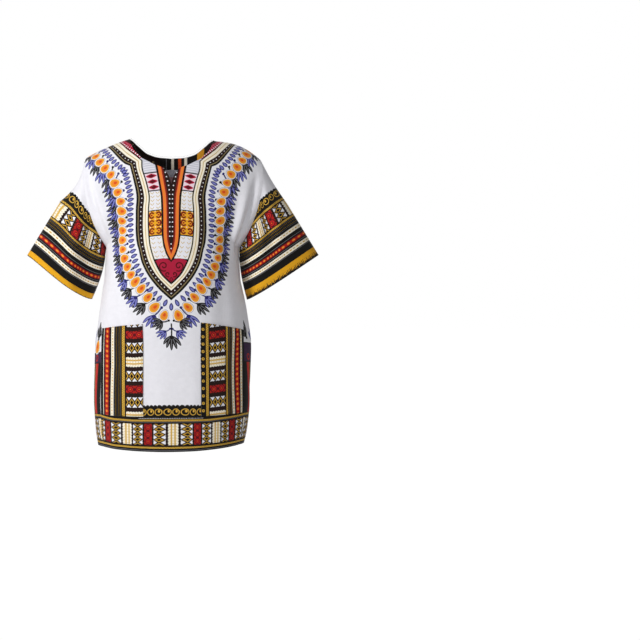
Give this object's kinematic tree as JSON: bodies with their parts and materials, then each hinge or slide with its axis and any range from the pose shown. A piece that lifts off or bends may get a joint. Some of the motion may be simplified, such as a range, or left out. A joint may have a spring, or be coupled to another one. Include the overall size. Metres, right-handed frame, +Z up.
{
  "type": "dashiki shirt",
  "caption": "Loose pull-on cotton shirt with a slit neck, dropped elbow-length sleeves and patch pockets, printed with a neck panel, borders and flowers, shaped as if worn",
  "frame": {"origin": "Between the two neck points of the shoulder seams, level with them, where the wearer's shoulders hold the shirt", "axes": "+Z up, -Y the way the front faces, +X to the right of someone who looks at the front"},
  "size_m": [0.739, 0.2736, 0.7806],
  "materials": {
    "white_cotton": "plain-woven printed cotton, white ground",
    "border_cotton": "plain-woven cotton covered by a dark striped border print",
    "facing_cotton": "plain-woven cotton with a dark print",
    "label_tape": "bare woven tape"
  },
  "bodies": {
    "root": {"front_panel": "white_cotton", "back_panel": "white_cotton", "sleeve_left": "border_cotton", "sleeve_right": "border_cotton", "pocket_left": "border_cotton", "pocket_right": "border_cotton", "neck_facing": "facing_cotton", "neck_label": "label_tape"}
  },
  "joints": []
}
